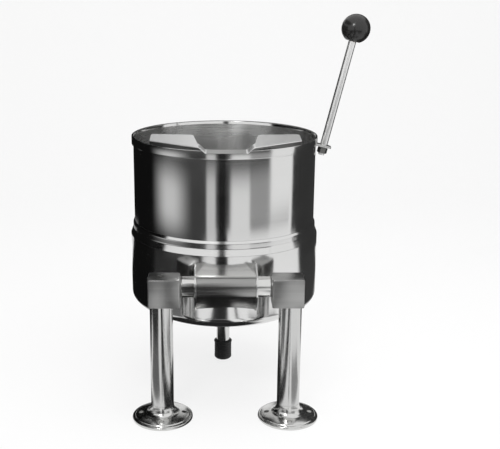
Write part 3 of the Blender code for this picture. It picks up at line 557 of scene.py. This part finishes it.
band_section = [(BAND_INNER, RIM_TOP), (BAND_OUTER, RIM_TOP),
                (BAND_OUTER, BAND_BOTTOM), (BAND_INNER, BAND_BOTTOM)]
band_section = eased(millimetres(band_section), BAND_ROUNDING * MM, keep=(0, 3))
band_steel = turned_stainless("band_steel", KETTLE_AXIS, KETTLE_TONE, 0.12, fineness=700.0)
band = finish_mesh("rim_bar", spun(band_section, KETTLE_AXIS, 192), "kettle", band_steel)
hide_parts("rim_band")


# Pouring lip
# Stainless sheet folded into a low spout between two raised wings, and welded on
# the rim. It has a satin finish from the belt, and is left dull on the spout's floor.

SPOUT_HALF = 32.0
SPOUT_FRONT = -177.5
SPOUT_BACK_RADIUS = 161.5
SPOUT_LEVEL = 1.5
SPOUT_DROOP = 1.0
LIP_SHEET = 1.3
LIP_EDGE = 0.3
LIP_FOOT_RADIUS = 164.3
LIP_FOOT_WIDTH = 2.0
WING_START = 46.5
WING_END = 126.5
WING_REACH = 167.0
WING_TURN = radians(-51.9)
WING_RISE = 8.0
WING_SLOPE = 0.15
WING_FOLD = 3.0
FOLD_MARGIN = 0.2
WING_BACK = [(54.0, -102.0), (126.0, -74.0)]
WING_CORNER = 8.0
WING_FRONT_STEP = 0.75
# Faces of the skirt under the wings and of the sheet's underside, which take the painted shade.
LIP_PAINTED_SHADE_FACES = (0, 1, 11, 12, 13)
LIP_TOP_SIDE = range(2, 8)


def curve_round(start, corner, end, steps):
    """Points from start to end of a curve that bends at a corner, without its first point."""
    start, corner, end = Vector(start), Vector(corner), Vector(end)
    return [bend_point(start, corner, end, i / steps) for i in range(1, steps + 1)]


def lip_cross_lines():
    """Front distance and back plan point of each cross line of the right half."""
    flat = [SPOUT_HALF * i / 6 for i in range(7)]
    bend = [SPOUT_HALF + (WING_START - SPOUT_HALF) * i / 20 for i in range(1, 21)]
    lines = [(x, Vector((x, -sqrt(SPOUT_BACK_RADIUS**2 - x**2)))) for x in flat + bend]
    inner, outer = Vector(WING_BACK[0]), Vector(WING_BACK[1])
    side_low = inner + Vector((-1.0, -WING_CORNER))
    end_low = outer + Vector((0, -WING_CORNER))
    along = (outer - inner).normalized() * WING_CORNER
    backs = [lines[-1][1].lerp(side_low, i / 8) for i in range(1, 9)]
    backs += curve_round(side_low, inner, inner + along, 6)
    backs += [(inner + along).lerp(outer - along, i / 8) for i in range(1, 9)]
    backs += curve_round(outer - along, outer, end_low, 6)
    fronts = [WING_START + WING_FRONT_STEP * i for i in range(1, 15)]
    rest = len(backs) - len(fronts)
    left_over = WING_END - fronts[-1]
    fronts += [fronts[-1] + left_over * (1 - (1 - i / rest) ** 2) for i in range(1, rest + 1)]
    return lines + list(zip(fronts, backs))


def lip_cross_section(front_x, back):
    """Section of the sheet on one cross line, from its foot on the rim round its edges to its underside."""
    share = min(1.0, max(0.0, (front_x - SPOUT_HALF) / (WING_START - SPOUT_HALF)))
    rise = share * share * (3 - 2 * share)
    straight = (WING_REACH - front_x * cos(WING_TURN)) / sin(WING_TURN)
    front = Vector((front_x, max(SPOUT_FRONT, straight)))
    inward = (back - front).normalized()
    length = (back - front).length
    along = -front.dot(inward)
    off_line = along**2 - front.length_squared
    foot = along - sqrt(off_line + LIP_FOOT_RADIUS**2)
    foot_back = along - sqrt(off_line + (LIP_FOOT_RADIUS - LIP_FOOT_WIDTH) ** 2)

    def at(distance, drop=0.0):
        spot = front + inward * distance
        floor = SPOUT_LEVEL - (SPOUT_LEVEL + SPOUT_DROOP) * max(0.0, 1 - distance / foot)
        behind = WING_REACH - spot.x * cos(WING_TURN) - spot.y * sin(WING_TURN)
        wing = WING_RISE + WING_SLOPE * behind
        return (spot.x, spot.y, RIM_TOP + floor * (1 - rise) + wing * rise - drop)

    def on_rim(distance):
        spot = front + inward * distance
        return (spot.x, spot.y, RIM_TOP + WELD_GAP)

    half = LIP_SHEET / 2
    fold = (foot_back + FOLD_MARGIN) * (1 - rise) + WING_FOLD * rise
    middle = (foot_back + length) / 2
    back_edge = length - LIP_EDGE
    return [
        on_rim(foot_back), on_rim(foot),
        at(LIP_EDGE, LIP_SHEET), at(0, half * 1.5), at(0, half * 0.5), at(LIP_EDGE),
        at(foot), at(middle), at(back_edge),
        at(length, half * 0.5), at(length, half * 1.5), at(back_edge, LIP_SHEET),
        at(middle, LIP_SHEET), at(fold, LIP_SHEET),
    ]


half_lip = [lip_cross_section(x, back) for x, back in lip_cross_lines()]
other_half = [[(-x, y, z) for x, y, z in section] for section in half_lip[:0:-1]]
fold_up = bmesh.new()
sections = []
for section in other_half + half_lip:
    sections.append([fold_up.verts.new(Vector(point) * MM + KETTLE_AXIS) for point in section])
for one, two in zip(sections, sections[1:]):
    for i in range(len(one)):
        j = (i + 1) % len(one)
        face = fold_up.faces.new((one[i], one[j], two[j], two[i]))
        face.material_index = 1 if i in LIP_PAINTED_SHADE_FACES else 0
        if i in LIP_TOP_SIDE and abs(face.calc_center_median().x - KETTLE_AXIS.x) < SPOUT_HALF * MM:
            face.material_index = 2
for end_section in (sections[0], sections[-1]):
    fold_up.faces.new(end_section)
lip_steel = brushed_stainless("lip_satin_steel", (260.0, 26.0, 26.0), (0.84, 0.84, 0.835), 0.44,
                              depth=0.004, contrast=0.05)
# Painted shade: the skirt under the wings and the sheet's underside get a near black steel (tone 0.16),
# which stands in for their shade.
underside_painted_shade_steel = brushed_stainless("lip_underside_painted_shade", (40.0, 160.0, 160.0), (0.16, 0.16, 0.158), 0.4,
                               contrast=0.2)
dull_steel = brushed_stainless("lip_dull_floor", (260.0, 26.0, 26.0), (0.42, 0.42, 0.415), 0.4,
                               contrast=0.2)
lip = finish_mesh("folded_lip", fold_up, "kettle", lip_steel, sharp=38)
lip.data.materials.append(underside_painted_shade_steel)
lip.data.materials.append(dull_steel)
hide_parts("pouring_lip")


# Jacket and its top ring
# The outer shell that holds the steam against the lower half of the bowl, and the
# sloping ring that closes it. Both are spun, welded together and polished.

JACKET_RADIUS = 169.0
JACKET_BEND = 168.5
JACKET_DEPTH = 48.0
JACKET_TOP = 276.8
RING_SECTION = [
    (162.8, 301.5), (164.8, 297.0), (164.8, 288.4), (169.0, 277.1),
    (166.7, 277.1), (162.5, 286.1), (162.5, 301.5),
]
RING_ROUNDING = 1.2

jacket_inner = JACKET_RADIUS - SHEET
jacket_outside = dish(JACKET_RADIUS, JACKET_BEND, JACKET_DEPTH)
jacket_inside = dish(jacket_inner, JACKET_BEND, JACKET_DEPTH - SHEET)[::-1]
jacket_wall = millimetres([(jacket_inner, JACKET_BEND), (jacket_inner, JACKET_TOP),
                           (JACKET_RADIUS, JACKET_TOP), (JACKET_RADIUS, JACKET_BEND)])
jacket_steel = turned_stainless("jacket_steel", KETTLE_AXIS, KETTLE_TONE, 0.11, fineness=500.0, swell=0.05)
work = spun(jacket_inside + jacket_wall + jacket_outside, KETTLE_AXIS, 192, closed=False)
jacket = finish_mesh("jacket", work, "kettle", jacket_steel)
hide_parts("jacket_shell")

ring_section = eased(millimetres(RING_SECTION), RING_ROUNDING * MM, keep=(0, 3, 4, 5, 6))
ring_steel = turned_stainless("ring_steel", KETTLE_AXIS, KETTLE_TONE, 0.12, fineness=700.0)
work = spun(ring_section, KETTLE_AXIS, 192)
top_ring = finish_mesh("top_ring", work, "kettle", ring_steel)
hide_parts("jacket_top_ring")


# Trunnion, its saddle and the steam passages
# A bored stainless shaft through a folded saddle that is welded to the jacket, with
# a painted highlight along the saddle's top. A nipple leads steam in on the right,
# and a small tube on the left picks up the condensate.

SADDLE_TOP = 253.5
TOP_HIGHLIGHT_START = 252.0


def polish_above(material, low, high, gain):
    """Paints brushed steel lighter from one height to another: a painted highlight along its top face."""
    tree = material.node_tree
    base = tree.nodes["Principled BSDF"].inputs["Base Color"]
    brushed = base.links[0].from_socket
    height = add(tree, "ShaderNodeSeparateXYZ", i0=object_place(tree)).outputs["Z"]
    polish = ranged(tree, height, (low * MM, high * MM), (1.0, gain))
    polished = add(tree, "ShaderNodeVectorMath", {"operation": "SCALE"}, i0=brushed, Scale=polish).outputs[0]
    tree.links.new(polished, base)


saddle_steel = brushed_stainless("saddle_steel", (9.0, 500.0, 500.0), (0.34, 0.34, 0.335), 0.22,
                                 contrast=0.2)
shaft_steel = brushed_stainless("shaft_steel", (1400.0, 10.0, 10.0), (0.68, 0.68, 0.67), 0.14,
                                depth=0.006, contrast=0.06)
plate_steel = brushed_stainless("saddle_plate_steel", (20.0, 600.0, 20.0), (0.68, 0.68, 0.675), 0.2,
                                contrast=0.1)
tube_steel = brushed_stainless("inner_tube_steel", (40.0, 40.0, 40.0), (0.55, 0.55, 0.54), 0.3)
# Painted highlight: from 252 mm up to its top, the saddle's dark steel is painted up to 2.1 times lighter.
polish_above(saddle_steel, TOP_HIGHLIGHT_START, SADDLE_TOP, 2.1)
dress("trunnion_saddle", saddle_steel)
dress("trunnion_shaft", shaft_steel)
dress("saddle_end_left", plate_steel)
dress("saddle_end_right", plate_steel)
dress("steam_nipple", tube_steel)
dress("condensate_tube", tube_steel)


# Rear rest
# A stub of stainless tube welded under the jacket, with a moulded and ribbed
# rubber tip on which the kettle stands when it is level.

REST_AXIS = KETTLE_AXIS + Vector((0, 57.5, 0)) * MM
TIP_TOP = 37.5
TIP_FLOOR = 12.0
TIP_BORE = 13.0
TIP_WAIST = 15.8
RIB_COUNT = 5
RIB_PITCH = 4.6
RIB_RADIUS = 16.5
FIRST_RIB_TOP = 31.0
TIP_ROUNDING = 0.6

post_steel = turned_stainless("rest_post_steel", REST_AXIS, (0.68, 0.68, 0.67), 0.13, fineness=600.0)
dress("rest_post", post_steel)
tip_profile = [(0, TIP_FLOOR), (TIP_BORE, TIP_FLOOR), (TIP_BORE, TIP_TOP), (16.2, TIP_TOP),
               (17.4, 36.3), (17.4, 34.3), (TIP_WAIST, 33.3)]
for rib in range(RIB_COUNT):
    top = FIRST_RIB_TOP - RIB_PITCH * rib
    tip_profile += [(TIP_WAIST, top), (RIB_RADIUS, top - 0.7), (RIB_RADIUS, top - 2.3), (15.9, top - 3.0)]
tip_profile += [(16.6, 7.6), (16.6, 3.0), (13.6, 0.0), (0, 0.0)]
tip_profile = eased(millimetres(tip_profile), TIP_ROUNDING * MM, closed=False, keep=(1, 2))
tip_rubber = black_soft_stuff("rest_tip_rubber", 0.012, 0.6, 1400.0)
work = spun(tip_profile, REST_AXIS, 64, closed=False)
tip = finish_mesh("rubber_tip", work, "kettle", tip_rubber)
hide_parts("rest_tip")


# Tilting handle
# A lug welded to the rim band, a satin steel rod with a thread, washer and nut
# under the lug, and a black phenolic ball moulded round a brass insert.

HANDLE_FOOT = Vector((177.7, 0, 434.9))
HANDLE_LEAN = radians(13.56)
HANDLE_FRAME = Matrix.Translation(KETTLE_AXIS + HANDLE_FOOT * MM) @ Matrix.Rotation(HANDLE_LEAN, 4, "Y")
BALL_RADIUS = 25.1
BALL_MIDDLE = 209.3
BALL_FLAT = 187.3
BALL_FLAT_TURN = asin(22.0 / 25.2)
BALL_HOLE = 8.6
BALL_STEPS = 32

lug_steel = brushed_stainless("lug_steel", (20.0, 700.0, 20.0), (0.62, 0.62, 0.615), 0.28)
dress("handle_lug", lug_steel)
rod_steel = brushed_stainless("rod_steel", (420.0, 420.0, 22.0), (0.88, 0.88, 0.875), 0.32, depth=0.02)
dress("handle_rod", rod_steel)
nut_zinc = plated_steel("nut_zinc", (0.22, 0.22, 0.215), 0.28)
dress("handle_nut", nut_zinc)
dress("handle_washer", nut_zinc)


def phenolic(name):
    """Black moulded phenolic: glossy from the mould, with a faint orange peel and rubbed patches."""
    material, tree, shader = new_finish(name)
    place = object_place(tree)
    peel = noise(tree, place, 160.0, 2.0)
    rubbed = noise(tree, place, 45.0, 3.0)
    colour = blend(tree, rubbed, (0.010, 0.010, 0.010, 1.0), (0.022, 0.021, 0.020, 1.0))
    rough = ranged(tree, rubbed, (0.3, 0.7), (0.18, 0.26))
    wire_finish(tree, shader, colour, rough, relief(tree, peel, 0.1, 0.1))
    return material


ball_profile = [(0, BALL_MIDDLE + BALL_RADIUS)]
for i in range(1, BALL_STEPS + 1):
    turn = pi / 2 - (pi / 2 + BALL_FLAT_TURN) * i / BALL_STEPS
    ball_profile.append((BALL_RADIUS * cos(turn), BALL_MIDDLE + BALL_RADIUS * sin(turn)))
ball_profile += [(BALL_HOLE, BALL_FLAT), (BALL_HOLE, BALL_MIDDLE), (0, BALL_MIDDLE)]
work = spun(millimetres(ball_profile), Vector((0, 0, 0)), 96, closed=False, lay=HANDLE_FRAME)
ball = finish_mesh("black_ball", work, "kettle", phenolic("ball_phenolic"))
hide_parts("ball_knob")
dress("knob_insert", bush_bronze("insert_brass"))


# Floor and backdrop
# A plain pale bench top that runs back into a plain pale wall in one sweep.

SWEEP_HALF = 2.6
SWEEP_FRONT = -2.2
BEND_START = 1.4
BEND_RADIUS = 0.5
WALL_TOP = 2.6
BENCH_DROP = 0.0003


def seen_rays(tree):
    """1 for rays from the camera and the polish, and 0 for the ones that light the kettle."""
    path = add(tree, "ShaderNodeLightPath").outputs
    seen = maths(tree, "ADD", path["Is Camera Ray"], path["Is Glossy Ray"])
    return maths(tree, "ADD", seen, path["Is Transmission Ray"], clamp=True)


def paper(name):
    """Pale matt paper. It is white to the camera and to the polish, and still takes the shadow."""
    material, tree, shader = new_finish(name)
    fibre = noise(tree, object_place(tree), 300.0, 3.0)
    colour = blend(tree, fibre, (0.88, 0.88, 0.88, 1.0), (0.90, 0.90, 0.90, 1.0))
    tree.links.new(colour, shader.inputs["Base Color"])
    shader.inputs["Roughness"].default_value = 0.9
    share = maths(tree, "MULTIPLY", seen_rays(tree), 0.8)
    white = add(tree, "ShaderNodeEmission", Strength=1.0)
    both = add(tree, "ShaderNodeMixShader", i0=share, i1=shader.outputs[0], i2=white.outputs[0])
    tree.links.new(both.outputs[0], tree.nodes["Material Output"].inputs["Surface"])
    return material


line = [(SWEEP_FRONT, 0.0), (BEND_START, 0.0)]
for i in range(1, 13):
    turn = pi / 2 * i / 12
    line.append((BEND_START + BEND_RADIUS * sin(turn), BEND_RADIUS - BEND_RADIUS * cos(turn)))
line.append((BEND_START + BEND_RADIUS, WALL_TOP))
sweep = bmesh.new()
edges = [[sweep.verts.new((x, y, z - BENCH_DROP)) for y, z in line] for x in (-SWEEP_HALF, SWEEP_HALF)]
for i in range(len(line) - 1):
    sweep.faces.new((edges[0][i], edges[1][i], edges[1][i + 1], edges[0][i + 1]))
sweep_mesh = bpy.data.meshes.new("paper_sweep")
sweep.to_mesh(sweep_mesh)
sweep.free()
sweep_mesh.shade_smooth()
sweep_mesh.materials.append(paper("pale_paper"))
paper_sweep = new_object("paper_sweep", sweep_mesh)


# Soft boxes and dark cards
# A ring of dark card stands round the kettle with soft boxes in front of it. Only
# the polish sees them, so that it has the light and dark stripes of a studio.


def card_face(name, strength, softness):
    """Face of a soft box: even in the middle, and fading out towards its edges."""
    material = bpy.data.materials.new(name)
    material.use_nodes = True
    tree = material.node_tree
    tree.nodes.clear()
    face = add(tree, "ShaderNodeUVMap").outputs[0]
    parts = add(tree, "ShaderNodeSeparateXYZ", i0=face).outputs
    fades = []
    for part, edge in ((parts["X"], softness[0]), (parts["Y"], softness[1])):
        off = maths(tree, "ABSOLUTE", maths(tree, "SUBTRACT", part, 0.5))
        smooth = {"interpolation_type": "SMOOTHSTEP"}
        fades.append(add(tree, "ShaderNodeMapRange", smooth, Value=off,
                         From_Min=0.5, From_Max=0.5 - max(edge, 0.001)).outputs[0])
    fade = maths(tree, "MULTIPLY", fades[0], fades[1])
    light = add(tree, "ShaderNodeEmission", Strength=strength)
    clear = add(tree, "ShaderNodeBsdfTransparent")
    both = add(tree, "ShaderNodeMixShader", i0=fade, i1=clear.outputs[0], i2=light.outputs[0])
    out = add(tree, "ShaderNodeOutputMaterial")
    tree.links.new(both.outputs[0], out.inputs["Surface"])
    return material


def hang_card(name, work, strength, softness):
    """Hangs the card where only the polish of the metal sees it."""
    mesh = bpy.data.meshes.new(name)
    work.to_mesh(mesh)
    work.free()
    mesh.materials.append(card_face(name + "_face", strength, softness))
    card = new_object(name, mesh)
    card.visible_camera = False
    card.visible_diffuse = False
    card.visible_shadow = False
    card.visible_transmission = False


def standing_card(name, start, end, bottom, top, distance, strength, softness):
    """A card on part of a circle round the kettle. Angles are from the front, positive to the right."""
    work = bmesh.new()
    uv = work.loops.layers.uv.new("face")
    steps = max(2, int(abs(end - start) / 4))
    columns = []
    for i in range(steps + 1):
        turn = radians(start + (end - start) * i / steps)
        spot = (KETTLE_AXIS.x + distance * sin(turn), KETTLE_AXIS.y - distance * cos(turn))
        columns.append([work.verts.new((*spot, bottom)), work.verts.new((*spot, top))])
    for i, (one, two) in enumerate(zip(columns, columns[1:])):
        card = work.faces.new((one[0], two[0], two[1], one[1]))
        corners = ((i / steps, 0), ((i + 1) / steps, 0), ((i + 1) / steps, 1), (i / steps, 1))
        for loop, corner in zip(card.loops, corners):
            loop[uv].uv = corner
    hang_card(name, work, strength, softness)


standing_card("dark_ring_front", -22, 80, 0.115, 0.47, 0.90, 0.06, (0.001, 0.08))
standing_card("dark_ring_front_left", -76, -20, 0.05, 0.47, 0.90, 0.06, (0.001, 0.08))
standing_card("dark_ring_left", -175, -68, 0.0, 1.0, 0.90, 0.006, (0.06, 0.1))
standing_card("dark_ring_right", 92, 176, 0.0, 1.15, 0.90, 0.04, (0.05, 0.001))
standing_card("dark_edge_right", 82, 100, 0.08, 0.43, 0.84, 0.04, (0.2, 0.1))
standing_card("soft_box_left", -95, -35, 0.07, 0.39, 0.86, 0.72, (0.46, 0.40))
standing_card("soft_box_narrow", -22, -9, 0.02, 0.42, 0.86, 0.68, (0.22, 0.3))
standing_card("soft_box_middle", 3, 31, 0.02, 0.40, 0.86, 0.88, (0.2, 0.33))
standing_card("soft_box_fill", 28, 52, 0.09, 0.40, 0.87, 0.38, (0.1, 0.33))
standing_card("soft_box_right", 48, 92, 0.02, 0.80, 0.86, 0.98, (0.15, 0.3))
standing_card("dark_gap", -8, 1.5, 0.0, 1.2, 0.82, 0.012, (0.2, 0.05))
standing_card("dark_gap_low", -11, 4, -0.02, 0.17, 0.81, 0.012, (0.18, 0.2))


def lying_card(name, corners, height, strength, softness=(0.15, 0.15)):
    """A card on the bench between four corners, which are metres right of and behind the kettle's axis."""
    work = bmesh.new()
    uv = work.loops.layers.uv.new("face")
    near_left, near_right, far_right, far_left = [Vector(corner) for corner in corners]
    steps = 8
    grid = []
    for i in range(steps + 1):
        start = near_left.lerp(far_left, i / steps)
        end = near_right.lerp(far_right, i / steps)
        spots = [start.lerp(end, j / steps) for j in range(steps + 1)]
        grid.append([work.verts.new((KETTLE_AXIS.x + x, KETTLE_AXIS.y + y, height)) for x, y in spots])
    for i in range(steps):
        for j in range(steps):
            card = work.faces.new((grid[i][j], grid[i][j + 1], grid[i + 1][j + 1], grid[i + 1][j]))
            corners_uv = ((j, i), (j + 1, i), (j + 1, i + 1), (j, i + 1))
            for loop, corner in zip(card.loops, corners_uv):
                loop[uv].uv = (corner[0] / steps, corner[1] / steps)
    hang_card(name, work, strength, softness)


lying_card("bench_black_left", ((-0.20, -0.05), (-2.0, -0.38), (-2.0, 1.5), (-0.20, 0.6)),
           height=0.0006, strength=0.006, softness=(0.05, 0.1))
lying_card("bench_grey_left", ((-0.27, -0.10), (-0.12, -0.30), (-0.34, -0.62), (-0.72, -0.25)),
           height=0.0009, strength=0.18, softness=(0.1, 0.1))
lying_card("bench_dark_left", ((-0.62, -0.02), (-0.27, -0.55), (-0.50, -1.30), (-1.4, -0.02)),
           height=0.0012, strength=0.03, softness=(0.08, 0.1))
# Painted shadow: a dark card on the bench between the legs stands in for the kettle's shade there.
lying_card("painted_shadow_between_legs", ((-0.09, -0.17), (0.05, -0.17), (0.03, -0.38), (-0.09, -0.38)),
           height=0.0015, strength=0.03)
lying_card("bench_dark_middle", ((-0.10, -0.33), (0.03, -0.33), (0.08, -1.25), (-0.20, -1.25)),
           height=0.0018, strength=0.03, softness=(0.15, 0.08))
lying_card("bench_grey_right", ((0.125, -0.26), (0.27, -0.14), (0.44, -0.28), (0.20, -0.50)),
           height=0.0009, strength=0.35)
lying_card("bench_dark_right", ((0.22, -0.02), (2.0, 0.1), (2.0, 1.5), (0.22, 0.6)),
           height=0.0006, strength=0.05, softness=(0.1, 0.1))
# Painted shadow: a dark card on the bench under the kettle stands in for its shadow there.
lying_card("painted_shadow_under_kettle", ((-0.22, -0.22), (0.12, -0.22), (0.12, -0.02), (-0.22, 0.20)),
           height=0.0021, strength=0.02)
for side, turn in (("left", -1), ("right", 1)):
    middle = LEG_ASIDE * MM * turn
    strip = ((middle - 0.010, -0.27), (middle + 0.010, -0.27),
             (middle + 0.022, -0.85), (middle - 0.022, -0.85))
    lying_card("bench_line_" + side, strip, height=0.0024, strength=0.03, softness=(0.3, 0.1))
lying_card("overhead_flag", ((-1.3, -0.75), (-0.34, -0.75), (-0.34, 1.2), (-1.3, 1.2)),
           height=1.28, strength=0.01, softness=(0.1, 0.1))

for name, spot, aim, size, power, shown in (
    ("overhead_box", (0.25, -0.15, 1.55), (0.0, 0.0, 0.2), 1.3, 17.0, False),
    ("front_box", (-0.56, -1.38, 1.68), (0.0, 0.0, 0.4), 0.40, 7.5, True),
):
    lamp = bpy.data.lights.new(name, "AREA")
    lamp.shape = "SQUARE"
    lamp.size = size
    lamp.energy = power
    lamp_holder = new_object(name, lamp)
    lamp_holder.location = spot
    lamp_holder.visible_glossy = shown
    lamp_holder.rotation_euler = (Vector(aim) - Vector(spot)).to_track_quat("-Z", "Y").to_euler()

world = bpy.data.worlds.new("studio_air")
world.use_nodes = True
air = world.node_tree
air.nodes.clear()
strength = ranged(air, seen_rays(air), target=(0.55, 1.0))
background = add(air, "ShaderNodeBackground", Color=(1, 1, 1, 1), Strength=strength)
air.links.new(background.outputs[0], add(air, "ShaderNodeOutputWorld").inputs["Surface"])
bpy.context.scene.world = world
bpy.context.scene.view_settings.view_transform = "Standard"


# Camera
# Stands in front of the kettle and a little above it, turned slightly to the right.

CAMERA_PLACE = (-0.0710, -1.5427, 0.71647)
CAMERA_HEADING = radians(-1.07)
CAMERA_PITCH = radians(74.792)
CAMERA_ROLL = radians(0.28)

lens = bpy.data.cameras.new("front_camera")
lens.sensor_width = 36.0
lens.sensor_fit = "HORIZONTAL"
lens.lens = 64.44
lens.shift_x = 0.0518
lens.clip_start = 0.01
camera = new_object("front_camera", lens)
camera.location = CAMERA_PLACE
heading = Matrix.Rotation(CAMERA_HEADING, 4, "Z")
pitch = Matrix.Rotation(CAMERA_PITCH, 4, "X")
roll = Matrix.Rotation(CAMERA_ROLL, 4, "Z")
camera.rotation_euler = (heading @ pitch @ roll).to_euler()
bpy.context.scene.camera = camera
